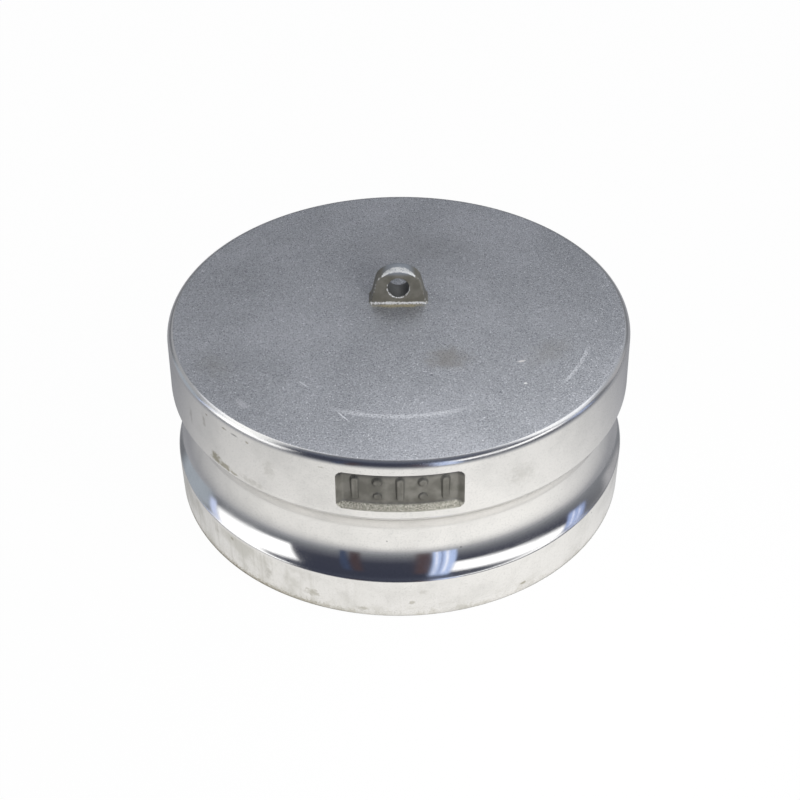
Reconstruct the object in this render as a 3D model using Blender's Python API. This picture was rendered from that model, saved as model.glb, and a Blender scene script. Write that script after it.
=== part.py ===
"""Camlock dust plug for a 100 mm (4 inch) hose coupler, cast in aluminium and turned on its outside.

Run with: blender --background --python part.py
Metres, +Z up. The origin is the centre of the flat lip face that the plug stands on.
The plug is a cup turned upside down: a closed end on top, a thick wall, an open mouth below.
"""

import math

import bmesh
import bpy
from mathutils import Vector

# Turned outside, from the mouth up
LIP_RADIUS = 0.05975
LIP_HEIGHT = 0.0125
LIP_CHAMFER = 0.0008
GROOVE_WIDTH = 0.0203
GROOVE_DEPTH = 0.0052
HEAD_STEP_IN = 0.00025
HEAD_HEIGHT = 0.0167
HEAD_DRAFT = math.radians(1.7)
RIM_ROUND = 0.0015

# Cast inside
MOUTH_WALL = 0.00975
BORE_DRAFT = math.radians(1.5)
BORE_CHAMFER = 0.0010
END_THICKNESS = 0.0060
BORE_FILLET = 0.0060

# Sunk marking panel on the head, at the front
PANEL_WIDTH = 0.0298
PANEL_HEIGHT = 0.0106
PANEL_DEPTH = 0.0018
PANEL_CORNER = 0.0018
PANEL_WALL_RUN = 0.0013
PANEL_BELOW_TOP = 0.0089

# Chain lug on the closed end
LUG_OFFSET = 0.0067
LUG_FOOT_WIDTH = 0.0140
LUG_FOOT_THICKNESS = 0.0062
LUG_HEIGHT = 0.0092
LUG_FLANK_LEAN = math.radians(14.0)
LUG_SHOULDER_RADIUS = 0.0036
LUG_CROWN_FLATTENING = 0.00074
LUG_EYE_HEIGHT = 0.0043
LUG_EYE_RADIUS = 0.0029
LUG_DRAFT = math.radians(3.5)
LUG_BACK_ROUND = 0.0014
LUG_FRONT_ROUND = 0.0004
LUG_FOOT_FLARE = 0.0005

SEAT_GAP = 0.0003  # left between the lug's foot and the end face
CUT_MARGIN = 0.0010  # how far a cutter reaches past the metal it cuts

# Facets
TURN_STEPS = 96
GROOVE_STEPS = 14
ROUND_STEPS = 5
PANEL_COLUMNS = 16
PANEL_CORNER_ROWS = 3
EYE_STEPS = 32
SHOULDER_STEPS = 6
CROWN_STEPS = 10

TURNED_ALUMINIUM = ("turned_aluminium", (0.88, 0.88, 0.86, 1.0), 0.22)
CAST_ALUMINIUM = ("cast_aluminium", (0.50, 0.51, 0.53, 1.0), 0.55)

GROOVE_TOP_Z = LIP_HEIGHT + GROOVE_WIDTH
END_FACE_Z = GROOVE_TOP_Z + HEAD_HEIGHT
BORE_RADIUS = LIP_RADIUS - MOUTH_WALL
HEAD_RADIUS = LIP_RADIUS - HEAD_STEP_IN
HEAD_TOP_RADIUS = HEAD_RADIUS - HEAD_HEIGHT * math.tan(HEAD_DRAFT)


def clear_scene():
    for obj in list(bpy.data.objects):
        bpy.data.objects.remove(obj, do_unlink=True)


def metal(name, colour, roughness):
    material = bpy.data.materials.new(name)
    material.use_nodes = True
    shader = material.node_tree.nodes["Principled BSDF"]
    shader.inputs["Base Color"].default_value = colour
    shader.inputs["Metallic"].default_value = 1.0
    shader.inputs["Roughness"].default_value = roughness
    return material


def add_object(name, mesh, material=None):
    obj = bpy.data.objects.new(name, mesh)
    bpy.context.scene.collection.objects.link(obj)
    if material:
        mesh.materials.append(material)
    return obj


def mesh_from(name, build):
    """A mesh filled by build(bm), with its faces turned outwards."""
    bm = bmesh.new()
    build(bm)
    bmesh.ops.recalc_face_normals(bm, faces=bm.faces)
    mesh = bpy.data.meshes.new(name)
    bm.to_mesh(mesh)
    bm.free()
    return mesh


def hide_cutter(obj):
    obj.hide_render = True
    obj.display_type = "WIRE"


def cut(obj, cutter, operation="DIFFERENCE"):
    modifier = obj.modifiers.new(cutter.name, "BOOLEAN")
    modifier.operation = operation
    modifier.object = cutter
    modifier.solver = "EXACT"


def arc(centre, radius, start, end, steps):
    """Points (r, z) on an arc from one angle to another, both ends included."""
    angles = [start + (end - start) * i / steps for i in range(steps + 1)]
    return [
        (centre[0] + radius * math.cos(a), centre[1] + radius * math.sin(a))
        for a in angles
    ]


def groove_arc():
    """The cam groove's concave arc, from the head's lower edge to the lip's upper edge.

    It is the circle through both edges whose deepest point lies GROOVE_DEPTH below the lip.
    """
    upper = Vector((HEAD_RADIUS, GROOVE_TOP_Z))
    lower = Vector((LIP_RADIUS, LIP_HEIGHT))
    chord = lower - upper
    sagitta = GROOVE_DEPTH - (LIP_RADIUS - HEAD_RADIUS) / 2
    radius = (chord.length**2 / 4 + sagitta**2) / (2 * sagitta)
    outwards = Vector((-chord.y, chord.x)).normalized()
    centre = (upper + lower) / 2 + outwards * (radius - sagitta)
    start = math.atan2(*reversed(upper - centre)) % math.tau
    end = math.atan2(*reversed(lower - centre)) % math.tau
    return arc(centre, radius, start, end, GROOVE_STEPS)


def outer_profile():
    """The turned outside, from the axis on the end face out and down to the lip face."""
    round_centre = (HEAD_TOP_RADIUS - RIM_ROUND, END_FACE_Z - RIM_ROUND)
    return [
        (0.0, END_FACE_Z),
        *arc(round_centre, RIM_ROUND, math.pi / 2, 0.0, ROUND_STEPS),
        *groove_arc(),
        (LIP_RADIUS, LIP_CHAMFER),
        (LIP_RADIUS - LIP_CHAMFER, 0.0),
    ]


def bore_profile():
    """The cast inside, from the lip face up the drafted wall to the axis under the closed end."""
    ceiling_z = END_FACE_Z - END_THICKNESS
    wall_top = BORE_RADIUS - ceiling_z * math.tan(BORE_DRAFT)
    fillet_centre = (wall_top - BORE_FILLET, ceiling_z - BORE_FILLET)
    return [
        (BORE_RADIUS + BORE_CHAMFER, 0.0),
        (BORE_RADIUS, BORE_CHAMFER),
        *arc(fillet_centre, BORE_FILLET, 0.0, math.pi / 2, ROUND_STEPS),
        (0.0, ceiling_z),
    ]


def rounded_half_width(width, height, corner, level):
    """Half the width of a rounded rectangle at a level from its middle."""
    into_corner = max(0.0, abs(level) - (height / 2 - corner))
    return width / 2 - corner + math.sqrt(max(0.0, corner**2 - into_corner**2))


def panel_levels(height, corner):
    """Levels up a rounded rectangle, close together at its corners."""
    straight = height / 2 - corner
    steps = range(PANEL_CORNER_ROWS + 1)
    turn = [corner * math.sin(math.pi / 2 * i / PANEL_CORNER_ROWS) for i in steps]
    above = [straight + t for t in turn]
    return [-level for level in reversed(above)] + above


def panel_layer(bm, radius, grow):
    """A rounded rectangle wrapped round the head at this radius, grown on all sides."""
    width = PANEL_WIDTH + 2 * grow
    height = PANEL_HEIGHT + 2 * grow
    corner = PANEL_CORNER + grow
    middle_z = END_FACE_Z - PANEL_BELOW_TOP
    rows = []
    for level in panel_levels(height, corner):
        half = rounded_half_width(width, height, corner, level)
        row = []
        for i in range(PANEL_COLUMNS + 1):
            angle = half * (2 * i / PANEL_COLUMNS - 1) / HEAD_RADIUS
            place = (radius * math.sin(angle), -radius * math.cos(angle), middle_z + level)
            row.append(bm.verts.new(place))
        rows.append(row)
    return rows


def fill_layer(bm, rows):
    for low, high in zip(rows, rows[1:]):
        for i in range(len(low) - 1):
            bm.faces.new((low[i], low[i + 1], high[i + 1], high[i]))


def layer_border(rows):
    """The outline of a layer, once round."""
    right = [row[-1] for row in rows[1:-1]]
    left = [row[0] for row in rows[-2:0:-1]]
    return rows[0] + right + rows[-1][::-1] + left


def build_panel_cutter(bm):
    """The sunk panel's hollow: a floor that follows the head, and walls that open outwards."""
    slope = PANEL_WALL_RUN / PANEL_DEPTH
    floor = panel_layer(bm, HEAD_RADIUS - PANEL_DEPTH, -PANEL_WALL_RUN)
    mouth = panel_layer(bm, HEAD_RADIUS + CUT_MARGIN, CUT_MARGIN * slope)
    fill_layer(bm, floor)
    fill_layer(bm, mouth)
    inner = layer_border(floor)
    outer = layer_border(mouth)
    for i, vert in enumerate(inner):
        following = (i + 1) % len(inner)
        bm.faces.new((vert, inner[following], outer[following], outer[i]))


def plug_body(material):
    """The casting: end, head, groove wall, lip and bore as one turned solid, with the panel cut in."""
    profile = [(r, 0.0, z) for r, z in outer_profile() + bore_profile()]
    edges = [(i, i + 1) for i in range(len(profile) - 1)]
    mesh = bpy.data.meshes.new("plug_body")
    mesh.from_pydata(profile, edges, [])
    body = add_object("plug_body", mesh, material)
    turn = body.modifiers.new("turn", "SCREW")
    turn.steps = TURN_STEPS
    turn.render_steps = TURN_STEPS
    turn.use_merge_vertices = True
    turn.merge_threshold = 0.00001
    turn.use_smooth_shade = True
    panel = add_object("panel_cutter", mesh_from("panel_cutter", build_panel_cutter))
    hide_cutter(panel)
    cut(body, panel)
    return body


def lug_outline():
    """The lug from the front: (x, height), leaning flanks under a three-centred arch.

    A round top that touches both flanks would have one radius. The crown arc is flatter than
    that, and the shoulder arcs are tangent to the flanks and to the crown arc between them.
    """
    half_foot = LUG_FOOT_WIDTH / 2
    lean = LUG_FLANK_LEAN
    crown_radius = half_foot * math.cos(lean) - LUG_HEIGHT * math.sin(lean) + LUG_CROWN_FLATTENING
    crown_radius /= 1 - math.sin(lean)
    crown_height = LUG_HEIGHT - crown_radius
    between = crown_radius - LUG_SHOULDER_RADIUS
    along = half_foot * math.cos(lean) - LUG_SHOULDER_RADIUS - crown_height * math.sin(lean)
    meet = lean + math.acos(along / between)
    shoulder = (between * math.cos(meet), crown_height + between * math.sin(meet))
    right = arc(shoulder, LUG_SHOULDER_RADIUS, lean, meet, SHOULDER_STEPS)
    crown = arc((0.0, crown_height), crown_radius, meet, math.pi - meet, CROWN_STEPS)
    left = [(-x, height) for x, height in reversed(right)]
    return [(half_foot, 0.0), *right, *crown[1:-1], *left, (-half_foot, 0.0)]


def build_lug_blade(bm):
    """The lug's blade: its outline in front and behind, thinner towards the crest."""
    base_z = END_FACE_Z + SEAT_GAP
    rounding = bm.edges.layers.float.new("bevel_weight_edge")
    sides = []
    for facing in (-1.0, 1.0):
        loop = []
        for x, height in lug_outline():
            half = LUG_FOOT_THICKNESS / 2 - height * math.tan(LUG_DRAFT)
            loop.append(bm.verts.new((x, LUG_OFFSET + facing * half, base_z + height)))
        sides.append(loop)
        bm.faces.new(loop)
    front, back = sides
    for i, vert in enumerate(front):
        following = (i + 1) % len(front)
        bm.faces.new((vert, front[following], back[following], back[i]))
    for loop, share in ((front, LUG_FRONT_ROUND / LUG_BACK_ROUND), (back, 1.0)):
        for vert, following in zip(loop, loop[1:]):
            bm.edges.get((vert, following))[rounding] = share


def build_lug_foot(bm):
    """The flare at the lug's foot, as a low frustum that the blade grows out of."""
    base_z = END_FACE_Z + SEAT_GAP
    rings = []
    for height, grow in ((0.0, LUG_FOOT_FLARE), (LUG_FOOT_FLARE, 0.0)):
        half_x = LUG_FOOT_WIDTH / 2 + grow
        half_y = LUG_FOOT_THICKNESS / 2 + grow
        corners = ((half_x, half_y), (-half_x, half_y), (-half_x, -half_y), (half_x, -half_y))
        rings.append([bm.verts.new((x, LUG_OFFSET + y, base_z + height)) for x, y in corners])
    bottom, top = rings
    bm.faces.new(bottom)
    bm.faces.new(top)
    for i in range(4):
        following = (i + 1) % 4
        bm.faces.new((bottom[i], bottom[following], top[following], top[i]))


def build_eye_cutter(bm):
    """A round pin along Y through the lug."""
    length = LUG_FOOT_THICKNESS + 2 * CUT_MARGIN
    bmesh.ops.create_cone(
        bm,
        cap_ends=True,
        segments=EYE_STEPS,
        radius1=LUG_EYE_RADIUS,
        radius2=LUG_EYE_RADIUS,
        depth=length,
    )
    for vert in bm.verts:
        x, y, z = vert.co
        vert.co = (x, LUG_OFFSET + z, END_FACE_Z + SEAT_GAP + LUG_EYE_HEIGHT - y)


def chain_lug(material):
    """The upright lug behind the middle of the end face, with a round eye for a chain."""
    lug = add_object("chain_lug", mesh_from("chain_lug", build_lug_blade), material)
    soften = lug.modifiers.new("soften", "BEVEL")
    soften.width = LUG_BACK_ROUND
    soften.segments = 3
    soften.limit_method = "WEIGHT"
    foot = add_object("lug_foot_tool", mesh_from("lug_foot_tool", build_lug_foot))
    eye = add_object("lug_eye_cutter", mesh_from("lug_eye_cutter", build_eye_cutter))
    hide_cutter(foot)
    hide_cutter(eye)
    cut(lug, foot, "UNION")
    cut(lug, eye)
    return lug


def main():
    clear_scene()
    plug_body(metal(*TURNED_ALUMINIUM))
    chain_lug(metal(*CAST_ALUMINIUM))


main()
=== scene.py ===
"""Camlock dust plug: the turned and cast surfaces, the marking panel, the chain lug and the light.

Everything is in metres in the part's own frame: +Z up the turned axis, the panel towards -Y.
"""

import math

import bmesh
import bpy
import numpy as np
from mathutils import Matrix, Vector


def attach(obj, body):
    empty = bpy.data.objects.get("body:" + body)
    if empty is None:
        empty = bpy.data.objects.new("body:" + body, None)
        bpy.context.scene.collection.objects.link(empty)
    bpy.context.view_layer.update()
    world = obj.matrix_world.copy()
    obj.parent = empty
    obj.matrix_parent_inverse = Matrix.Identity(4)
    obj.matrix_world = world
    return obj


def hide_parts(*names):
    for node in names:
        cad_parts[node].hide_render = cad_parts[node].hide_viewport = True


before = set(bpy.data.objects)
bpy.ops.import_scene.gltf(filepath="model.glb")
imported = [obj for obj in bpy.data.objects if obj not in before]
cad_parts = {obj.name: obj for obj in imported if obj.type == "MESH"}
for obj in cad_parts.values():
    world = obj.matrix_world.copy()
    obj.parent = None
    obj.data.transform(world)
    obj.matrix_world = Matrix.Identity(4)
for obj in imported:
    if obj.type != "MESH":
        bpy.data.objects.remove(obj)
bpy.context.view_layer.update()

# Turned outside, from the mouth up
LIP_RADIUS = 0.05975
LIP_HEIGHT = 0.0125
LIP_CHAMFER = 0.0008
GROOVE_WIDTH = 0.0203
GROOVE_DEPTH = 0.0052
HEAD_RADIUS = 0.0595
HEAD_HEIGHT = 0.0167
HEAD_DRAFT = math.radians(1.7)
RIM_ROUND = 0.0019
GROOVE_TOP_Z = LIP_HEIGHT + GROOVE_WIDTH
END_FACE_Z = GROOVE_TOP_Z + HEAD_HEIGHT
HEAD_TOP_RADIUS = HEAD_RADIUS - HEAD_HEIGHT * math.tan(HEAD_DRAFT)
LIP_EDGE_BREAK = 0.00035
HEAD_EDGE_BREAK = 0.0016

# Rows of the turned skin: radii of those on the two flat discs, how many each stretch has, and
# how far from an edge its extra rows lie
END_FACE_ROWS = (0.0, 0.004, 0.012, 0.024, 0.036, 0.048, 0.056)
RIM_ROWS = 16
RIM_BLASTED_ROWS = 2
HEAD_ROWS = 84
GROOVE_ROWS = 72
LIP_ROWS = 10
BORE_ROWS = 8
BORE_FILLET_ROWS = 10
CEILING_ROWS = (0.030, 0.018, 0.008, 0.0)
EDGE_MARGIN = 0.0002
MOUTH_MARGIN = 0.004

# Columns of the turned skin, close together across the front for the panel
FRONT_COLUMNS = 190
OTHER_COLUMNS = 190
FRONT_HALF_ANGLE = math.radians(15.2)
SAME_PLACE = 0.000001

# Cast inside
BORE_RADIUS = 0.0500
BORE_DRAFT = math.radians(1.5)
BORE_CHAMFER = 0.0010
BORE_FILLET = 0.0060
END_THICKNESS = 0.0060
CEILING_Z = END_FACE_Z - END_THICKNESS

# Sunk marking panel
PANEL_WIDTH = 0.0298
PANEL_HEIGHT = 0.0106
PANEL_DEPTH = 0.00155
PANEL_CORNER = 0.0018
PANEL_WALL_SLOPE = 1.3
PANEL_FLOOR_FILLET = 0.00045
PANEL_DROP = 0.0089
PANEL_MIDDLE_Z = END_FACE_Z - PANEL_DROP
HEAD_TAPER_AT_PANEL = 0.0003
PANEL_FLOOR_RADIUS = HEAD_RADIUS - HEAD_TAPER_AT_PANEL - PANEL_DEPTH
MARK_COUNT = 5
MARK_HEIGHT = 0.00042
MARK_PITCH = 0.0052
MARK_SIDES = 24
BAR_SIZE = (0.0016, 0.0066)
PIP_SIZE = (0.0019, 0.0019)
PIP_STEP = 0.0021

# Chain lug
LUG_Y = 0.0067
LUG_FOOT_HALF = 0.0073
LUG_FOOT_THICKNESS = 0.0062
LUG_HEIGHT = 0.0095
LUG_TOP_Z = END_FACE_Z + LUG_HEIGHT
LUG_FLANK_LEAN = math.radians(14.0)
LUG_SHOULDER = 0.0036
LUG_CROWN = 0.0070
LUG_DRAFT = math.radians(3.5)
LUG_EYE_HEIGHT = 0.0046
LUG_EYE_RADIUS = 0.00275
LUG_EYE_BREAK = 0.00026
LUG_FRONT_ROUND = 0.00045
LUG_BACK_ROUND = 0.0015
LUG_SINK = 0.0009
LUG_FOOT_FILLET = 0.0005
LUG_GROUND_DEPTH = 0.0024
LUG_GROUND_HALF = 0.0044
LUG_GROUND_FADE = 0.0005
LUG_FOOT_LINE_HEIGHT = 0.00025
LUG_FOOT_LINE_WIDTH = 0.0004
LUG_WALL_REACH = 0.00002

# Steps along the lug's outline
LUG_FLANK_STEPS = 34
LUG_SHOULDER_STEPS = 8
LUG_CROWN_STEPS = 24
LUG_UNDER_STEPS = 40

# Steps of the lug's skin: round its eye's edge, across a face, round an edge, front to back, and
# places through the eye, as shares of half its thickness
LUG_EYE_STEPS = 4
LUG_FACE_STEPS = 22
LUG_EDGE_STEPS = 7
LUG_SIDE_STEPS = 20
LUG_WALL_PLACES = (0.7, 0.35, 0.0, -0.35, -0.7)

# Photograph's camera
CAMERA_PLACE = (0.000152, -0.28504, 0.24965)
CAMERA_PITCH = 0.6773
CAMERA_ROLL = -0.0091
LENS = 61.05
SENSOR_WIDTH = 36.0


class NodeSheet:
    """A node tree with short calls for adding and joining its nodes."""

    def __init__(self, tree):
        self.tree = tree

    def add(self, kind, *inputs, named=None, **settings):
        """A node with these settings, its inputs fed in their order and then by their names."""
        node = self.tree.nodes.new(kind)
        for name, value in settings.items():
            setattr(node, name, value)
        for place, value in enumerate(inputs):
            if value is not None:
                self.feed(node.inputs[place], value)
        for name, value in (named or {}).items():
            self.feed(node.inputs[name], value)
        return node

    def feed(self, socket, value):
        """Joins an output to this input, or sets the input to a plain value."""
        if isinstance(value, bpy.types.NodeSocket):
            self.tree.links.new(value, socket)
        else:
            socket.default_value = value

    def math(self, operation, *inputs):
        return self.add("ShaderNodeMath", *inputs, operation=operation).outputs[0]

    def times(self, first, *others):
        """The product of these values."""
        for other in others:
            first = self.math("MULTIPLY", first, other)
        return first

    def centred(self, value, reach):
        """A value from 0 to 1 moved to lie about 0, and widened to this reach."""
        return self.times(self.math("SUBTRACT", value, 0.5), reach)

    def axes(self, vector):
        """A vector's x, y and z."""
        return self.add("ShaderNodeSeparateXYZ", vector).outputs

    def compass(self, x, y):
        """Degrees round Z from the front, rising to the right."""
        return self.math("DEGREES", self.math("ARCTAN2", x, self.times(y, -1.0)))

    def vector(self, operation, *inputs):
        return self.add("ShaderNodeVectorMath", *inputs, operation=operation).outputs[0]

    def length(self, vector):
        return self.add("ShaderNodeVectorMath", vector, operation="LENGTH").outputs[1]

    def span(self, value, low, high, to_low=0.0, to_high=1.0, smooth=True):
        """A value mapped from one range to another and held at its ends."""
        kind = "SMOOTHSTEP" if smooth else "LINEAR"
        return self.add(
            "ShaderNodeMapRange", value, low, high, to_low, to_high, interpolation_type=kind
        ).outputs[0]

    def blend(self, amount, first, second):
        """Two colours mixed by an amount."""
        node = self.add("ShaderNodeMix", data_type="RGBA")
        self.feed(node.inputs[0], amount)
        self.feed(node.inputs[6], first)
        self.feed(node.inputs[7], second)
        return node.outputs[2]

    def noise(self, vector, scale, detail=3.0, roughness=0.5):
        given = {"Vector": vector, "Scale": scale, "Detail": detail, "Roughness": roughness}
        return self.add("ShaderNodeTexNoise", named=given).outputs["Fac"]

    def cells(self, vector, scale):
        """How far each place is from its cell's own point."""
        given = {"Vector": vector, "Scale": scale}
        return self.add("ShaderNodeTexVoronoi", named=given).outputs["Distance"]

    def ramp(self, value, stops):
        """A colour that follows a value through these stops, in rising order."""
        node = self.add("ShaderNodeValToRGB", value)
        marks = node.color_ramp.elements
        for mark, stop in ((marks[0], stops[0]), (marks[1], stops[-1])):
            mark.position = stop[0]
            mark.color = stop[1]
        for position, colour in stops[1:-1]:
            marks.new(position).color = colour
        return node.outputs[0]

    def patch(self, place, centre, reach, turn, ragged, core):
        """1 in the core of an ellipsoid turned about Z, falling raggedly to 0 at its edge."""
        given = {"Location": centre, "Rotation": (0.0, 0.0, turn), "Scale": reach}
        local = self.add("ShaderNodeMapping", place, named=given, vector_type="TEXTURE")
        away = self.math("ADD", self.length(local.outputs[0]), ragged)
        return self.span(away, core, 1.1, 1.0, 0.0)


def rgb(red, green, blue):
    """An opaque colour."""
    return (red, green, blue, 1.0)


def new_object(name, data):
    """An object that holds this data, linked into the scene."""
    made = bpy.data.objects.new(name, data)
    bpy.context.scene.collection.objects.link(made)
    return made


def mesh_from(bm, name):
    """A mesh filled from a bmesh, which is then freed."""
    mesh = bpy.data.meshes.new(name)
    bm.to_mesh(mesh)
    bm.free()
    return mesh


def new_metal(name, colour, roughness, metallic=1.0):
    """A metal with its sheet of nodes, its shader and its object coordinates."""
    material = bpy.data.materials.new(name)
    material.use_nodes = True
    sheet = NodeSheet(material.node_tree)
    shader = material.node_tree.nodes["Principled BSDF"]
    shader.inputs["Base Color"].default_value = colour
    shader.inputs["Metallic"].default_value = metallic
    shader.inputs["Roughness"].default_value = roughness
    place = sheet.add("ShaderNodeTexCoord").outputs["Object"]
    return material, sheet, shader, place


def put_bump(sheet, shader, height, depth, strength):
    """Gives the shader a bump of this depth that follows the height."""
    given = {"Strength": strength, "Distance": depth, "Height": height}
    bump = sheet.add("ShaderNodeBump", named=given)
    sheet.feed(shader.inputs["Normal"], bump.outputs[0])


# Marks on the end face, and one broad patch of painted shade over its back: x, y, half length,
# half width in mm, turn in degrees, share of the patch that is solid, colour, strength
END_FACE_MARKS = (
    (11.7, -20.0, 7.0, 5.5, 10.0, 0.1, rgb(0.23, 0.215, 0.19), 0.6),
    (37.0, -17.5, 9.0, 5.0, 40.0, 0.0, rgb(0.26, 0.255, 0.24), 0.4),
    (-45.0, -22.0, 8.0, 5.0, -50.0, 0.0, rgb(0.27, 0.265, 0.245), 0.3),
    # Painted shade: this broad grey patch darkens the back of the end face, standing in for light
    # falling off towards the back
    (6.0, 30.0, 26.0, 14.0, 8.0, 0.0, rgb(0.26, 0.262, 0.27), 0.35),
    (-37.0, -37.0, 3.5, 1.5, -35.0, 0.2, rgb(0.68, 0.68, 0.70), 0.45),
    (-13.0, -42.2, 2.6, 0.20, -52.0, 0.5, rgb(0.88, 0.89, 0.91), 0.8),
    (-23.0, -29.7, 2.3, 0.18, -46.0, 0.5, rgb(0.88, 0.89, 0.91), 0.6),
    (30.0, -21.4, 1.3, 0.5, 20.0, 0.4, rgb(0.92, 0.89, 0.85), 0.8),
    (30.2, -30.2, 0.6, 0.4, 0.0, 0.4, rgb(0.94, 0.94, 0.92), 0.9),
    (23.9, -33.5, 0.45, 0.4, 0.0, 0.4, rgb(0.10, 0.10, 0.12), 0.9),
    (7.9, -26.7, 0.4, 0.35, 0.0, 0.4, rgb(0.12, 0.12, 0.14), 0.8),
    (0.0, 2.7, 8.0, 1.0, 0.0, 0.3, rgb(0.62, 0.54, 0.34), 0.8),
)
# Faint rings left by handling: radius, half width in mm, compass from the front, half spread
# in degrees, strength
END_FACE_RINGS = (
    (42.3, 0.9, 0.0, 26.0, 0.55),
    (49.5, 0.6, 62.0, 11.0, 0.55),
)


def blasted_end_face():
    """The end face, cast and blasted: blue-grey and sandy, with bright grains, faint marks and
    painted shade over its back.
    """
    material, sheet, shader, place = new_metal("blasted_end_face", rgb(0.5, 0.52, 0.56), 0.3, 0.6)
    coarse = sheet.noise(place, 1900.0, 2.0, 0.5)
    grain = sheet.noise(place, 3300.0, 1.0, 0.5)
    sand = sheet.noise(place, 5600.0, 0.0)
    patchy = sheet.noise(place, 30.0, 4.0, 0.6)
    ragged = sheet.centred(sheet.noise(place, 420.0), 1.3)
    bright = sheet.span(sheet.cells(place, 1700.0), 0.12, 0.34, 1.0, 0.0)
    rare = sheet.span(sheet.noise(place, 1300.0, 0.0), 0.60, 0.68)
    speck = sheet.times(bright, rare, 0.8)
    tone = sheet.blend(
        sheet.span(patchy, 0.36, 0.64), rgb(0.285, 0.294, 0.312), rgb(0.385, 0.394, 0.418)
    )
    tone = sheet.blend(sheet.span(grain, 0.26, 0.52, 0.42, 0.0), tone, rgb(0.19, 0.20, 0.215))
    tone = sheet.blend(sheet.span(grain, 0.50, 0.74, 0.0, 0.52), tone, rgb(0.82, 0.83, 0.86))
    tone = sheet.blend(sheet.span(sand, 0.25, 0.50, 0.35, 0.0), tone, rgb(0.18, 0.19, 0.205))
    tone = sheet.blend(sheet.span(sand, 0.52, 0.76, 0.0, 0.45), tone, rgb(0.82, 0.83, 0.86))
    tone = sheet.blend(sheet.span(coarse, 0.30, 0.45, 0.20, 0.0), tone, rgb(0.24, 0.25, 0.265))
    tone = sheet.blend(speck, tone, rgb(0.97, 0.98, 1.0))
    x, y = sheet.axes(place)[:2]
    radius = sheet.math("SQRT", sheet.math("ADD", sheet.times(x, x), sheet.times(y, y)))
    compass = sheet.compass(x, y)
    for ring, width, middle, spread, strength in END_FACE_RINGS:
        off = sheet.math("ABSOLUTE", sheet.math("SUBTRACT", radius, ring / 1000))
        line = sheet.span(off, width / 2000, width / 1000, 1.0, 0.0)
        turn = sheet.math("ABSOLUTE", sheet.math("SUBTRACT", compass, middle))
        reach = sheet.span(turn, spread * 0.5, spread, strength, 0.0)
        broken = sheet.times(sheet.span(coarse, 0.35, 0.55), reach)
        tone = sheet.blend(sheet.times(line, broken), tone, rgb(0.80, 0.81, 0.83))
    for mark_x, mark_y, length, width, turn, core, colour, strength in END_FACE_MARKS:
        spot = sheet.patch(
            place,
            (mark_x / 1000, mark_y / 1000, END_FACE_Z),
            (length / 1000, width / 1000, 0.002),
            math.radians(turn),
            ragged,
            core,
        )
        tone = sheet.blend(sheet.times(spot, strength), tone, colour)
    sheet.feed(shader.inputs["Base Color"], tone)
    sheet.feed(shader.inputs["Roughness"], sheet.span(grain, 0.3, 0.7, 0.27, 0.36))
    height = sheet.math("ADD", grain, sheet.times(coarse, 0.8))
    put_bump(sheet, shader, height, 0.00009, 0.9)
    return material


STAIN_BROWN = rgb(0.36, 0.34, 0.26)
STAIN_GREY = rgb(0.55, 0.54, 0.50)
PIT = rgb(0.08, 0.08, 0.09)
# Stains on the turned outside: compass from the front in degrees, height, half width and half
# height in mm, colour, strength
FLANK_STAINS = (
    (-47.8, 35.4, 2.6, 1.7, STAIN_BROWN, 0.9),
    (-44.6, 34.7, 3.0, 1.1, STAIN_BROWN, 0.8),
    (-42.0, 34.2, 2.2, 0.6, STAIN_BROWN, 0.7),
    (-36.0, 34.6, 5.0, 1.5, STAIN_GREY, 0.45),
    (-52.0, 44.0, 0.8, 2.5, STAIN_GREY, 0.75),
    (-58.5, 41.6, 1.0, 3.2, STAIN_GREY, 0.6),
    (-31.0, 41.0, 2.0, 3.8, STAIN_GREY, 0.35),
    (28.5, 40.0, 4.4, 4.0, STAIN_GREY, 0.32),
    (31.2, 32.0, 1.3, 0.9, STAIN_BROWN, 0.75),
    (38.6, 30.1, 0.38, 0.38, PIT, 0.95),
    (36.6, 29.4, 0.24, 0.24, PIT, 0.9),
    (-50.5, 46.7, 0.7, 0.4, STAIN_BROWN, 0.8),
    (-44.0, 46.5, 0.9, 0.35, STAIN_BROWN, 0.8),
    (-40.5, 46.4, 1.1, 0.35, PIT, 0.6),
    (-36.5, 46.3, 0.8, 0.3, STAIN_BROWN, 0.7),
    (-17.5, 46.4, 1.8, 0.35, STAIN_GREY, 0.7),
    (-33.2, 6.3, 1.2, 3.2, STAIN_GREY, 0.75),
    (-21.3, 5.2, 2.2, 1.3, STAIN_BROWN, 0.5),
    (-9.2, 2.9, 1.7, 0.75, STAIN_BROWN, 0.5),
    (2.5, 5.3, 0.8, 0.7, STAIN_BROWN, 0.5),
    (5.1, 8.9, 1.2, 1.0, STAIN_GREY, 0.45),
    (30.4, 3.4, 1.0, 0.5, STAIN_BROWN, 0.75),
    (-44.8, 10.6, 0.7, 0.5, STAIN_BROWN, 0.7),
    (-51.0, 9.0, 1.6, 2.0, STAIN_GREY, 0.6),
)


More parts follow.
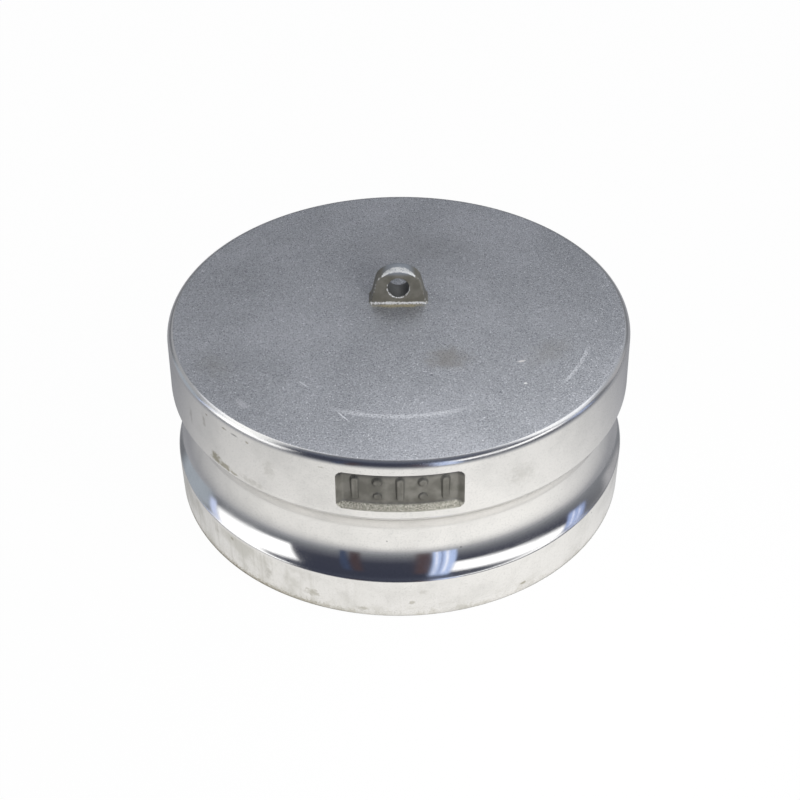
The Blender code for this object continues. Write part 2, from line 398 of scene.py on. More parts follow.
def turned_flank():
    """The machined outside: bright, with fine turning lines, stains, and the casting's pits."""
    material, sheet, shader, place = new_metal("turned_flank", rgb(0.90, 0.89, 0.87), 0.16)
    shader.inputs["Anisotropic"].default_value = 0.7
    shader.inputs["Anisotropic Rotation"].default_value = 0.25
    tangent = sheet.add("ShaderNodeTangent", direction_type="RADIAL", axis="Z")
    sheet.feed(shader.inputs["Tangent"], tangent.outputs[0])
    x = sheet.axes(place)[0]
    height = sheet.axes(place)[2]
    lines = sheet.noise(sheet.vector("MULTIPLY", place, (20.0, 20.0, 5200.0)), 1.0, 2.0)
    streaks = sheet.noise(sheet.vector("MULTIPLY", place, (620.0, 620.0, 40.0)), 1.0, 3.0)
    cloud = sheet.noise(place, 85.0, 4.0, 0.6)
    mottle = sheet.noise(place, 420.0, 3.0, 0.6)
    fine = sheet.noise(place, 2300.0, 1.0)
    flecks = sheet.noise(place, 800.0, 4.0, 0.7)
    ragged = sheet.centred(flecks, 2.4)
    lip = sheet.span(height, LIP_HEIGHT - 0.0015, LIP_HEIGHT, 1.0, 0.0)
    foot = sheet.span(height, 0.0, 0.006, 1.0, 0.0)
    tone = sheet.blend(
        sheet.span(cloud, 0.42, 0.68, 0.0, 0.42), rgb(0.905, 0.895, 0.88), rgb(0.77, 0.765, 0.75)
    )
    tone = sheet.blend(sheet.span(fine, 0.25, 0.5, 0.16, 0.0), tone, rgb(0.45, 0.45, 0.45))
    left = sheet.span(x, -0.034, -0.004, 0.46, 0.07)
    streaky = sheet.times(sheet.span(streaks, 0.46, 0.70), lip, left)
    tone = sheet.blend(streaky, tone, rgb(0.62, 0.61, 0.57))
    # Darker towards the bottom: a mottled olive grey over the outside's lowest 6 mm, and a ragged
    # brown band along its bottom edge, stronger on the left
    dark_foot_mottle = sheet.times(sheet.span(mottle, 0.44, 0.66), foot, 0.45)
    tone = sheet.blend(dark_foot_mottle, tone, rgb(0.50, 0.48, 0.40))
    edge = sheet.math("ADD", height, sheet.centred(fine, 0.0022))
    dark_bottom_rim = sheet.span(edge, 0.0008, 0.0026, 2.1, 0.0)
    tone = sheet.blend(sheet.times(dark_bottom_rim, left), tone, rgb(0.30, 0.26, 0.18))
    smear = sheet.times(sheet.span(cloud, 0.40, 0.62), lip, left)
    tone = sheet.blend(smear, tone, rgb(0.52, 0.51, 0.45))
    pit = sheet.span(sheet.cells(place, 260.0), 0.035, 0.06, 1.0, 0.0)
    chosen = sheet.span(sheet.noise(place, 150.0, 0.0), 0.55, 0.60)
    tone = sheet.blend(sheet.times(pit, chosen, 0.8), tone, PIT)
    for turn, stain_z, width, tall, colour, strength in FLANK_STAINS:
        turn = math.radians(turn)
        spot = sheet.patch(
            place,
            (LIP_RADIUS * math.sin(turn), -LIP_RADIUS * math.cos(turn), stain_z / 1000),
            (width / 1000, 0.003, tall / 1000),
            turn,
            ragged,
            0.0 if colour == STAIN_GREY else 0.3,
        )
        tone = sheet.blend(sheet.times(spot, strength), tone, colour)
    sheet.feed(shader.inputs["Base Color"], tone)
    bright_groove = sheet.times(
        sheet.span(height, LIP_HEIGHT, LIP_HEIGHT + 0.0008),
        sheet.span(height, GROOVE_TOP_Z - 0.009, GROOVE_TOP_Z - 0.003, 1.0, 0.0),
    )
    satin = sheet.span(cloud, 0.35, 0.75, 0.16, 0.25)
    polish = sheet.times(bright_groove, 0.085)
    sheet.feed(shader.inputs["Roughness"], sheet.math("SUBTRACT", satin, polish))
    put_bump(sheet, shader, lines, 0.00002, 0.2)
    return material


def cast_panel():
    """The sunk panel's skin: dark as-cast metal, olive, with a bright gritty ledge at its foot,
    painted shade under its upper wall, and painted shade round the marks' feet.
    """
    material, sheet, shader, place = new_metal("cast_panel", rgb(0.30, 0.29, 0.27), 0.5, 0.7)
    grain = sheet.noise(place, 4200.0, 2.0, 0.6)
    cloud = sheet.noise(place, 260.0, 3.0)
    height = sheet.axes(place)[2]
    ledge_top = PANEL_MIDDLE_Z - PANEL_HEIGHT / 2 + PANEL_DEPTH / PANEL_WALL_SLOPE
    ledge = sheet.span(height, ledge_top - 0.0003, ledge_top + 0.0001, 1.0, 0.0)
    under_top = PANEL_MIDDLE_Z + PANEL_HEIGHT / 2 - PANEL_DEPTH / PANEL_WALL_SLOPE
    # Painted shade: darker towards the panel's upper wall, where its overhang shades it
    painted_shade = sheet.span(height, under_top - 0.0012, under_top + 0.0006, 0.0, 0.75)
    skin = (rgb(0.175, 0.169, 0.148), rgb(0.275, 0.266, 0.238))
    tone = sheet.blend(sheet.span(cloud, 0.35, 0.65), *skin)
    tone = sheet.blend(painted_shade, tone, rgb(0.09, 0.09, 0.10))
    grit = (rgb(0.10, 0.096, 0.075), rgb(0.50, 0.485, 0.42))
    tone = sheet.blend(ledge, tone, sheet.blend(sheet.span(grain, 0.35, 0.68), *grit))
    sheet.feed(shader.inputs["Metallic"], sheet.math("SUBTRACT", 0.7, sheet.times(ledge, 0.6)))
    # Painted shade round the feet of the raised marks, dark in the crease where they meet the
    # panel's floor
    mark_foot_shade = sheet.add("ShaderNodeAttribute", attribute_name="painted_mark_shade").outputs["Fac"]
    edged = sheet.blend(sheet.times(mark_foot_shade, 0.6), tone, rgb(0.10, 0.10, 0.09))
    sheet.feed(shader.inputs["Base Color"], edged)
    put_bump(sheet, shader, grain, 0.00010, 0.6)
    return material


def cast_bore():
    """The inside of the cup, as cast."""
    material, sheet, shader, place = new_metal("cast_bore", rgb(0.60, 0.60, 0.60), 0.45)
    grain = sheet.noise(place, 900.0, 4.0, 0.65)
    cloud = sheet.noise(place, 45.0, 3.0)
    tone = sheet.blend(sheet.span(cloud, 0.3, 0.7), rgb(0.50, 0.50, 0.50), rgb(0.68, 0.68, 0.68))
    sheet.feed(shader.inputs["Base Color"], tone)
    put_bump(sheet, shader, grain, 0.00022, 0.6)
    return material


def cast_lug():
    """The lug's as-cast skin, ground bright where the edge_wear attribute says, with painted light
    on its top and painted shade on its eye's inner wall.
    """
    material, sheet, shader, place = new_metal("cast_lug", rgb(0.42, 0.41, 0.37), 0.42, 0.5)
    grain = sheet.noise(place, 2100.0, 3.0, 0.65)
    cloud = sheet.noise(place, 420.0, 3.0)
    wear = sheet.add("ShaderNodeAttribute", attribute_name="edge_wear").outputs["Fac"]
    inside = sheet.add("ShaderNodeAttribute", attribute_name="painted_eye_shade").outputs["Fac"]
    height = sheet.axes(place)[2]
    worn = sheet.span(sheet.math("ADD", wear, sheet.span(grain, 0.3, 0.7, -0.5, 0.3)), 0.42, 0.85)
    skin = (rgb(0.19, 0.18, 0.15), rgb(0.25, 0.238, 0.203))
    tone = sheet.blend(sheet.span(cloud, 0.35, 0.65), *skin)
    tone = sheet.blend(sheet.span(grain, 0.32, 0.5, 0.35, 0.0), tone, rgb(0.18, 0.175, 0.15))
    # Painted light from above: the lug's top is lightened to a bluish grey
    painted_top_light = sheet.span(height, LUG_TOP_Z - 0.0017, LUG_TOP_Z - 0.0003, 0.0, 0.7)
    tone = sheet.blend(painted_top_light, tone, rgb(0.36, 0.40, 0.46))
    # Painted shade: the eye's inner wall is darkened where the hole is shaded
    tone = sheet.blend(sheet.times(inside, 0.75), tone, rgb(0.10, 0.105, 0.11))
    tone = sheet.blend(worn, tone, rgb(0.86, 0.86, 0.84))
    sheet.feed(shader.inputs["Base Color"], tone)
    put_bump(sheet, shader, grain, 0.00014, 0.6)
    return material


def arc(centre, radius, start, end, steps):
    """Points (r, z) on an arc, both ends included."""
    angles = [start + (end - start) * i / steps for i in range(steps + 1)]
    return [
        (centre[0] + radius * math.cos(a), centre[1] + radius * math.sin(a))
        for a in angles
    ]


def straight(start, end, steps):
    """Points along a straight line, without its ends."""
    return [
        tuple(a + (b - a) * i / steps for a, b in zip(start, end)) for i in range(1, steps)
    ]


def groove_arc():
    """The cam groove's concave arc, from the head's lower edge to the lip's upper edge."""
    upper = Vector((HEAD_RADIUS, GROOVE_TOP_Z))
    lower = Vector((LIP_RADIUS, LIP_HEIGHT))
    chord = lower - upper
    sagitta = GROOVE_DEPTH - (LIP_RADIUS - HEAD_RADIUS) / 2
    radius = (chord.length**2 / 4 + sagitta**2) / (2 * sagitta)
    outwards = Vector((-chord.y, chord.x)).normalized()
    centre = (upper + lower) / 2 + outwards * (radius - sagitta)
    start = math.atan2(*reversed(upper - centre)) % math.tau
    end = math.atan2(*reversed(lower - centre)) % math.tau
    return arc(centre, radius, start, end, GROOVE_ROWS)


def soften(points, corner, reach, steps=5):
    """The points with the corner nearest to a place rounded over this reach on both sides."""
    gap = [math.dist(p, corner) for p in points]
    middle = gap.index(min(gap))
    before = [p for p, g in zip(points[:middle], gap) if g > reach]
    after = [p for p, g in zip(points[middle + 1 :], gap[middle + 1 :]) if g > reach]
    enter = toward(points[middle], before[-1], reach)
    leave = toward(points[middle], after[0], reach)
    bend = []
    for i in range(steps + 1):
        t = i / steps
        bend.append(
            tuple(
                (1 - t) ** 2 * a + 2 * t * (1 - t) * m + t * t * b
                for a, m, b in zip(enter, points[middle], leave)
            )
        )
    return before + bend + after


def toward(start, end, reach):
    """The point this far from the start on its way to the end."""
    share = reach / math.dist(start, end)
    return tuple(a + (b - a) * share for a, b in zip(start, end))


def turned_profile():
    """The whole section, from the axis on the end face, out, down and up inside: (r, z, zone).

    Zone 1 is the blasted end face, 0 the turned outside and -1 the cast inside.
    """
    head_top = (HEAD_TOP_RADIUS, END_FACE_Z - RIM_ROUND)
    rim_centre = (HEAD_TOP_RADIUS - RIM_ROUND, END_FACE_Z - RIM_ROUND)
    end_face = [(r, END_FACE_Z) for r in END_FACE_ROWS + (rim_centre[0] - EDGE_MARGIN,)]
    rim = arc(rim_centre, RIM_ROUND, math.pi / 2, 0.0, RIM_ROWS)
    end_face += rim[: RIM_BLASTED_ROWS + 1]
    flank = rim[RIM_BLASTED_ROWS + 1 :]
    flank += straight(head_top, (HEAD_RADIUS, GROOVE_TOP_Z), HEAD_ROWS)
    flank += groove_arc()
    flank += straight((LIP_RADIUS, LIP_HEIGHT), (LIP_RADIUS, LIP_CHAMFER), LIP_ROWS)
    flank += [(LIP_RADIUS, LIP_CHAMFER), (LIP_RADIUS - LIP_CHAMFER, 0.0)]
    flank = soften(flank, (HEAD_RADIUS, GROOVE_TOP_Z), HEAD_EDGE_BREAK)
    flank = soften(flank, (LIP_RADIUS, LIP_HEIGHT), LIP_EDGE_BREAK)
    flank += [(LIP_RADIUS - LIP_CHAMFER - EDGE_MARGIN, 0.0)]
    mouth = BORE_RADIUS + BORE_CHAMFER
    flank += [(mouth + MOUTH_MARGIN, 0.0), (mouth + EDGE_MARGIN, 0.0), (mouth, 0.0)]
    wall_top = BORE_RADIUS - CEILING_Z * math.tan(BORE_DRAFT)
    fillet_centre = (wall_top - BORE_FILLET, CEILING_Z - BORE_FILLET)
    fillet = arc(fillet_centre, BORE_FILLET, 0.0, math.pi / 2, BORE_FILLET_ROWS)
    wall_foot = (BORE_RADIUS, BORE_CHAMFER)
    bore = [wall_foot] + straight(wall_foot, fillet[0], BORE_ROWS) + fillet
    bore += [(r, CEILING_Z) for r in CEILING_ROWS]
    zones = ((end_face, 1), (flank, 0), (bore, -1))
    return [(r, z, zone) for points, zone in zones for r, z in points]


def profile_object():
    """The section's points as a mesh for the turning tree, with their zones."""
    points = turned_profile()
    mesh = bpy.data.meshes.new("section")
    mesh.from_pydata([(r, 0.0, z) for r, z, zone in points], [], [])
    zones = mesh.attributes.new("zone", "FLOAT", "POINT")
    zones.data.foreach_set("value", [float(zone) for r, z, zone in points])
    return new_object("section", mesh)


def add_sockets(tree, wanted):
    """The tree's named inputs, as a name to identifier table."""
    table = {}
    for name, kind in wanted:
        socket = tree.interface.new_socket(name=name, in_out="INPUT", socket_type=kind)
        table[name] = socket.identifier
    tree.interface.new_socket(
        name="Geometry", in_out="OUTPUT", socket_type="NodeSocketGeometry"
    )
    return table


def section_value(sheet, section, row, value, data_type):
    """A value of the section's point in this row."""
    return sheet.add(
        "GeometryNodeSampleIndex",
        data_type=data_type,
        domain="POINT",
        named={"Geometry": section, "Value": value, "Index": row},
    ).outputs[0]


def turning_tree():
    """Turns a section round Z. The columns are close together across the front, for the panel."""
    tree = bpy.data.node_groups.new("turn_section", "GeometryNodeTree")
    table = add_sockets(
        tree,
        (
            ("Section", "NodeSocketObject"),
            ("Front Columns", "NodeSocketInt"),
            ("Other Columns", "NodeSocketInt"),
            ("Front Half Angle", "NodeSocketFloat"),
            ("End Face", "NodeSocketMaterial"),
            ("Flank", "NodeSocketMaterial"),
            ("Bore", "NodeSocketMaterial"),
        ),
    )
    sheet = NodeSheet(tree)
    given = sheet.add("NodeGroupInput").outputs
    section = sheet.add("GeometryNodeObjectInfo", given["Section"]).outputs["Geometry"]
    rows = sheet.add("GeometryNodeAttributeDomainSize", section).outputs["Point Count"]
    columns = sheet.math("ADD", given["Front Columns"], given["Other Columns"])
    grid = sheet.add(
        "GeometryNodeMeshGrid", 1.0, 1.0, sheet.math("ADD", columns, 1.0), rows
    ).outputs["Mesh"]
    index = sheet.add("GeometryNodeInputIndex").outputs[0]
    column = sheet.math("FLOOR", sheet.math("DIVIDE", sheet.math("ADD", index, 0.5), rows))
    row = sheet.math("SUBTRACT", index, sheet.times(column, rows))
    half = given["Front Half Angle"]
    full = sheet.math("SUBTRACT", math.tau, half)
    front_end = given["Front Columns"]
    front = sheet.span(column, 0.0, front_end, sheet.times(half, -1.0), half, smooth=False)
    other = sheet.span(column, front_end, columns, half, full, smooth=False)
    past = sheet.math("GREATER_THAN", column, front_end)
    turn = sheet.add("GeometryNodeSwitch", past, front, other, input_type="FLOAT").outputs[0]
    place = sheet.add("GeometryNodeInputPosition").outputs[0]
    section_point = section_value(sheet, section, row, place, "FLOAT_VECTOR")
    radius = sheet.axes(section_point)[0]
    height = sheet.axes(section_point)[2]
    across = sheet.times(radius, sheet.math("SINE", turn))
    away = sheet.times(radius, sheet.math("COSINE", turn), -1.0)
    spot = sheet.add("ShaderNodeCombineXYZ", across, away, height).outputs[0]
    zone = sheet.add("GeometryNodeInputNamedAttribute", "zone", data_type="FLOAT").outputs[0]
    row_zone = section_value(sheet, section, row, zone, "FLOAT")
    stored = sheet.add(
        "GeometryNodeStoreNamedAttribute",
        data_type="FLOAT",
        domain="POINT",
        named={"Geometry": grid, "Name": "zone", "Value": row_zone},
    )
    turned = sheet.add("GeometryNodeSetPosition", stored.outputs[0], None, spot).outputs[0]
    closed = sheet.add("GeometryNodeMergeByDistance", turned, named={"Distance": SAME_PLACE})
    smooth = sheet.add("GeometryNodeSetShadeSmooth", closed.outputs[0]).outputs[0]
    real = sheet.add("GeometryNodeRealizeInstances", smooth).outputs[0]
    painted = sheet.add("GeometryNodeSetMaterial", real, True, given["Flank"]).outputs[0]
    is_end = sheet.math("GREATER_THAN", zone, 0.75)
    painted = sheet.add("GeometryNodeSetMaterial", painted, is_end, given["End Face"]).outputs[0]
    is_bore = sheet.math("LESS_THAN", zone, -0.25)
    painted = sheet.add("GeometryNodeSetMaterial", painted, is_bore, given["Bore"]).outputs[0]
    sheet.add("NodeGroupOutput", painted)
    return tree, table


def grown(name, tree, table, values):
    """A plain mesh object made by a tree with these values in its named inputs."""
    seed = new_object(name + "_seed", bpy.data.meshes.new(name + "_seed"))
    modifier = seed.modifiers.new(name, "NODES")
    modifier.node_group = tree
    for label, value in values.items():
        modifier[table[label]] = value
    bpy.context.view_layer.update()
    shape = seed.evaluated_get(bpy.context.evaluated_depsgraph_get())
    mesh = bpy.data.meshes.new_from_object(shape)
    mesh.name = name
    seed.modifiers.remove(modifier)
    bpy.data.objects.remove(seed)
    return new_object(name, mesh)


def rounded_box_depth(across, up, half_width, half_height, corner):
    """How far inside a rounded rectangle each point lies; below 0 outside it."""
    qx = np.abs(across) - (half_width - corner)
    qy = np.abs(up) - (half_height - corner)
    outside = np.hypot(np.maximum(qx, 0.0), np.maximum(qy, 0.0))
    inside = np.minimum(np.maximum(qx, qy), 0.0)
    return corner - outside - inside


def soft_min(a, b, reach):
    """The smaller of two values, with a fillet of this reach where they meet."""
    mix = np.clip(0.5 + 0.5 * (b - a) / reach, 0.0, 1.0)
    return b * (1.0 - mix) + a * mix - reach * mix * (1.0 - mix)


def sink_panel(piece, panel_skin):
    """Presses the marking panel into the head's front and gives it its own skin."""
    mesh = piece.data
    places = np.zeros(len(mesh.vertices) * 3)
    mesh.vertices.foreach_get("co", places)
    places = places.reshape(-1, 3)
    radius = np.hypot(places[:, 0], places[:, 1])
    turn = np.arctan2(places[:, 0], -places[:, 1])
    up = places[:, 2] - PANEL_MIDDLE_Z
    across = turn * HEAD_RADIUS
    inward = rounded_box_depth(
        across, up, PANEL_WIDTH / 2, PANEL_HEIGHT / 2, PANEL_CORNER
    )
    # The end face and the cup's inside stay as they are
    inward[radius < PANEL_FLOOR_RADIUS] = -1.0
    inside = inward > 0.0
    depth = soft_min(
        np.maximum(inward, 0.0) * PANEL_WALL_SLOPE,
        np.full_like(inward, PANEL_DEPTH),
        PANEL_FLOOR_FILLET,
    )
    depth = np.where(inside, np.maximum(depth, 0.0), 0.0)
    scale = np.where(inside, (radius - depth) / np.maximum(radius, SAME_PLACE), 1.0)
    places[:, 0] *= scale
    places[:, 1] *= scale
    mesh.vertices.foreach_set("co", places.ravel())
    mesh.materials.append(panel_skin)
    skin_index = len(mesh.materials) - 1
    for face in mesh.polygons:
        if any(inside[v] for v in face.vertices):
            face.material_index = skin_index
    mesh.update()
    bm = bmesh.new()
    bm.from_mesh(mesh)
    for edge in bm.edges:
        skins = {face.material_index for face in edge.link_faces}
        if len(skins) == 2 and skin_index in skins:
            edge.smooth = False
    bm.to_mesh(mesh)
    bm.free()


def face_outwards(piece):
    """Turns the piece's faces so that they all point out of it."""
    bm = bmesh.new()
    bm.from_mesh(piece.data)
    bmesh.ops.recalc_face_normals(bm, faces=bm.faces)
    bm.to_mesh(piece.data)
    bm.free()


def lug_outline():
    """The lug from the front, anticlockwise from its right foot: places and outward normals.

    Both are x and height above the end face.
    """
    lean = LUG_FLANK_LEAN
    crown_z = LUG_HEIGHT - LUG_CROWN
    between = LUG_CROWN - LUG_SHOULDER
    along = LUG_FOOT_HALF * math.cos(lean) - LUG_SHOULDER - crown_z * math.sin(lean)
    meet = lean + math.acos(along / between)
    shoulder = (between * math.cos(meet), crown_z + between * math.sin(meet))
    foot = (LUG_FOOT_HALF + LUG_SINK * math.tan(lean), -LUG_SINK)
    flank_top = (
        shoulder[0] + LUG_SHOULDER * math.cos(lean),
        shoulder[1] + LUG_SHOULDER * math.sin(lean),
    )
    flank = [foot] + straight(foot, flank_top, LUG_FLANK_STEPS)
    bend = arc(shoulder, LUG_SHOULDER, lean, meet, LUG_SHOULDER_STEPS)
    crown = arc((0.0, crown_z), LUG_CROWN, meet, math.pi - meet, LUG_CROWN_STEPS)
    right = flank + bend
    left = [(-x, z) for x, z in reversed(right)]
    under = straight((-foot[0], foot[1]), foot, LUG_UNDER_STEPS)
    points = np.array(right + crown[1:-1] + left + under)
    ahead = np.roll(points, -1, axis=0) - np.roll(points, 1, axis=0)
    ahead /= np.linalg.norm(ahead, axis=1)[:, None]
    normals = np.stack((ahead[:, 1], -ahead[:, 0]), axis=1)
    return points, normals


def lug_rings():
    """Rings of the lug's skin from the front of the eye, out, back and in again.

    Each ring gives, for every point of the outline: x and height, its side (-1 on the front
    face, 1 on the back one), how far it is moved back from there, and the sideways normal.
    """
    points, normals = lug_outline()
    eye = np.array((0.0, LUG_EYE_HEIGHT))
    rays = points - eye
    rays /= np.linalg.norm(rays, axis=1)[:, None]
    flat = normals * 0.0
    pull = normals.copy()
    under = points[:, 1] < SAME_PLACE - LUG_SINK
    pull[under, 0] = points[under, 0] / np.abs(points[:, 0]).max()
    pull[under, 1] = 0.0
    faces = []
    for edge_round in (LUG_FRONT_ROUND, LUG_BACK_ROUND):
        rings = []
        for i in range(LUG_EYE_STEPS + 1):
            a = math.pi / 2 * i / LUG_EYE_STEPS
            ring = eye + rays * (LUG_EYE_RADIUS + LUG_EYE_BREAK * (1 - math.cos(a)))
            rings.append((ring, LUG_EYE_BREAK * (1 - math.sin(a)), flat))
        face_start = rings[-1][0]
        face_end = points - pull * edge_round
        for i in range(1, LUG_FACE_STEPS):
            share = i / LUG_FACE_STEPS
            rings.append((face_start + (face_end - face_start) * share, 0.0, flat))
        for i in range(LUG_EDGE_STEPS + 1):
            a = math.pi / 2 * i / LUG_EDGE_STEPS
            ring = face_end + pull * edge_round * math.sin(a)
            rings.append((ring, edge_round * (1 - math.cos(a)), normals * math.sin(a)))
        faces.append(rings)
    front = [(ring, -1.0, inset, out) for ring, inset, out in faces[0]]
    back = [(ring, 1.0, -inset, out) for ring, inset, out in reversed(faces[1])]
    side = []
    for i in range(1, LUG_SIDE_STEPS):
        t = i / LUG_SIDE_STEPS
        side.append((points, 2 * t - 1, LUG_FRONT_ROUND * (1 - t) - LUG_BACK_ROUND * t, normals))
    wall = [(eye + rays * LUG_EYE_RADIUS, place, 0.0, flat) for place in LUG_WALL_PLACES]
    return front + side + back + wall


def make_lug_casting():
    """The cast lug with its drilled eye, rounded edges and the fillet round its foot."""
    places = []
    wear = []
    painted_eye_shade = []
    eye = (0.0, LUG_EYE_HEIGHT)
    eye_edge = LUG_EYE_RADIUS + LUG_EYE_BREAK
    for ring, side, shift, out in lug_rings():
        height = ring[:, 1]
        half = LUG_FOOT_THICKNESS / 2 - height * math.tan(LUG_DRAFT)
        near_foot = np.clip(LUG_FOOT_FILLET - height, 0.0, LUG_FOOT_FILLET)
        flare = LUG_FOOT_FILLET - np.sqrt(LUG_FOOT_FILLET**2 - near_foot**2)
        from_eye = np.linalg.norm(ring - eye, axis=1)
        flare = flare * (from_eye > eye_edge)
        facing = np.sign(side) * np.sqrt(np.clip(1 - out[:, 0] ** 2, 0.0, 1.0))
        across = ring[:, 0] + flare * out[:, 0]
        depth = side * half + shift + flare * facing * (abs(side) == 1.0)
        places.append(np.stack((across, LUG_Y + depth, END_FACE_Z + height), axis=1))
        from_front = depth + half
        reach = LUG_GROUND_DEPTH * np.sqrt(np.clip(1 - (ring[:, 0] / LUG_GROUND_HALF) ** 2, 0, 1))
        on_crest = np.linalg.norm(out, axis=1) * (height > LUG_EYE_HEIGHT)
        ground = np.clip((reach - from_front) / LUG_GROUND_FADE, 0.0, 1.0) * (on_crest > 0.3)
        in_front = side == -1.0
        front_edge = in_front * np.clip(np.linalg.norm(out, axis=1) * 2, 0, 1)
        flank_edge = front_edge * (height > 0.0002) * 0.42
        from_line = (height - LUG_FOOT_LINE_HEIGHT) / LUG_FOOT_LINE_WIDTH
        foot_line = np.exp(-(from_line**2)) * in_front
        on_break = (from_eye > LUG_EYE_RADIUS) * (from_eye < eye_edge + SAME_PLACE)
        eye_ring = on_break * in_front * (height < LUG_EYE_HEIGHT + 0.001) * 0.8
        wear.append(np.maximum.reduce((ground, flank_edge, foot_line, eye_ring)))
        # Marks the eye's inner wall for its painted shade
        painted_eye_shade.append(np.where(from_eye < LUG_EYE_RADIUS + LUG_WALL_REACH, 1.0, 0.0))
    count = len(places[0])
    rings = len(places)
    faces = []
    for i in range(rings):
        for j in range(count):
            here = i * count
            beyond = (i + 1) % rings * count
            after = (j + 1) % count
            faces.append((here + j, here + after, beyond + after, beyond + j))
    mesh = bpy.data.meshes.new("lug_casting")
    mesh.from_pydata(np.concatenate(places).tolist(), [], faces)
    mesh.shade_smooth()
    for name, values in (("edge_wear", wear), ("painted_eye_shade", painted_eye_shade)):
        attribute = mesh.attributes.new(name, "FLOAT", "POINT")
        attribute.data.foreach_set("value", np.concatenate(values))
    mesh.materials.append(cast_lug())
    piece = new_object("lug_casting", mesh)
    face_outwards(piece)
    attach(piece, "root")
    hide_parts("chain_lug")


# Layers of a raised mark from its foot up: how much wider it is, its height, how dark its painted
# shade is round the mark's foot
MARK_LAYERS = (
    (0.00050, -0.00015, 0.0),
    (0.00034, 0.00001, 0.6),
    (0.00018, 0.00007, 1.0),
    (0.00006, 0.00022, 1.0),
    (-0.00003, 0.00040, 0.5),
    (-0.00016, 0.00054, 0.0),
    (-0.00045, MARK_HEIGHT, 0.0),
)


def raised_shape(name, size, offsets):
    """A soft-edged cast mark of this size, standing on XZ and facing -Y, at these heights."""
    width, height = size
    half_straight = (height - width) / 2
    bm = bmesh.new()
    # Each vertex keeps how much painted shade it gets in the crease at the mark's foot
    edge = bm.verts.layers.float.new("painted_mark_shade")
    for middle in offsets:
        rings = []
        for grow, rise, painted_shade in MARK_LAYERS:
            ring = []
            for i in range(MARK_SIDES):
                a = math.tau * (i + 0.5) / MARK_SIDES
                x = (width / 2 + grow) * math.cos(a)
                z = (width / 2 + grow) * math.sin(a) + math.copysign(half_straight, math.sin(a))
                vert = bm.verts.new((x, -rise, middle + z))
                vert[edge] = painted_shade
                ring.append(vert)
            rings.append(ring)
        for low, high in zip(rings, rings[1:]):
            for i in range(MARK_SIDES):
                after = (i + 1) % MARK_SIDES
                bm.faces.new((low[i], low[after], high[after], high[i]))
        bm.faces.new(rings[0])
        bm.faces.new(rings[-1])
    bmesh.ops.recalc_face_normals(bm, faces=bm.faces)
    return new_object(name, mesh_from(bm, name))


def marking_tree():
    """Sets marks along an arc on the panel's floor, two shapes in turn."""
    tree = bpy.data.node_groups.new("set_marks", "GeometryNodeTree")
    table = add_sockets(
        tree,
        (
            ("First Shape", "NodeSocketObject"),
            ("Second Shape", "NodeSocketObject"),
            ("Count", "NodeSocketInt"),
            ("Pitch", "NodeSocketFloat"),
            ("Floor Radius", "NodeSocketFloat"),
            ("Middle Height", "NodeSocketFloat"),
            ("Skin", "NodeSocketMaterial"),
        ),
    )
    sheet = NodeSheet(tree)
    given = sheet.add("NodeGroupInput").outputs
    line = sheet.add("GeometryNodeMeshLine", given["Count"]).outputs[0]
    index = sheet.add("GeometryNodeInputIndex").outputs[0]
    middle = sheet.times(sheet.math("SUBTRACT", given["Count"], 1.0), 0.5)
    step = sheet.math("DIVIDE", given["Pitch"], given["Floor Radius"])
    turn = sheet.times(sheet.math("SUBTRACT", index, middle), step)
    across = sheet.times(sheet.math("SINE", turn), given["Floor Radius"])
    away = sheet.times(sheet.math("COSINE", turn), given["Floor Radius"], -1.0)
    spot = sheet.add("ShaderNodeCombineXYZ", across, away, given["Middle Height"]).outputs[0]
    points = sheet.add("GeometryNodeSetPosition", line, None, spot).outputs[0]
    facing = sheet.add("ShaderNodeCombineXYZ", None, None, turn).outputs[0]
    odd = sheet.math("MODULO", index, 2.0)
    parts = []
    for shape, picked in (
        ("First Shape", sheet.math("LESS_THAN", odd, 0.5)),
        ("Second Shape", sheet.math("GREATER_THAN", odd, 0.5)),
    ):
        body = sheet.add("GeometryNodeObjectInfo", given[shape]).outputs["Geometry"]
        feeds = {"Points": points, "Selection": picked, "Instance": body, "Rotation": facing}
        parts.append(sheet.add("GeometryNodeInstanceOnPoints", named=feeds).outputs[0])
    joined = sheet.add("GeometryNodeJoinGeometry")
    for part in parts:
        tree.links.new(part, joined.inputs[0])
    real = sheet.add("GeometryNodeRealizeInstances", joined.outputs[0]).outputs[0]
    smooth = sheet.add("GeometryNodeSetShadeSmooth", real).outputs[0]
    painted = sheet.add("GeometryNodeSetMaterial", smooth, True, given["Skin"]).outputs[0]
    sheet.add("NodeGroupOutput", painted)
    return tree, table


def make_panel_marks(panel_skin):
    """Plain raised marks in the panel: bars, and pairs of pips between them."""
    bar = raised_shape("bar", BAR_SIZE, (0.0,))
    pips = raised_shape("pips", PIP_SIZE, (-PIP_STEP, PIP_STEP))
    tree, table = marking_tree()
    piece = grown(
        "panel_marks",
        tree,
        table,
        {
            "First Shape": bar,
            "Second Shape": pips,
            "Count": MARK_COUNT,
            "Pitch": MARK_PITCH,
            "Floor Radius": PANEL_FLOOR_RADIUS,
            "Middle Height": PANEL_MIDDLE_Z,
            "Skin": panel_skin,
        },
    )
    bpy.data.objects.remove(bar)
    bpy.data.objects.remove(pips)
    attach(piece, "root")


def make_plug_casting(panel_skin):
    """The turned body with its sunk panel."""
    section = profile_object()
    tree, table = turning_tree()
    piece = grown(
        "plug_casting",
        tree,
        table,
        {
            "Section": section,
            "Front Columns": FRONT_COLUMNS,
            "Other Columns": OTHER_COLUMNS,
            "Front Half Angle": FRONT_HALF_ANGLE,
            "End Face": blasted_end_face(),
            "Flank": turned_flank(),
            "Bore": cast_bore(),
        },
    )
    bpy.data.objects.remove(section)
    sink_panel(piece, panel_skin)
    face_outwards(piece)
    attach(piece, "root")
    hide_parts("plug_body")


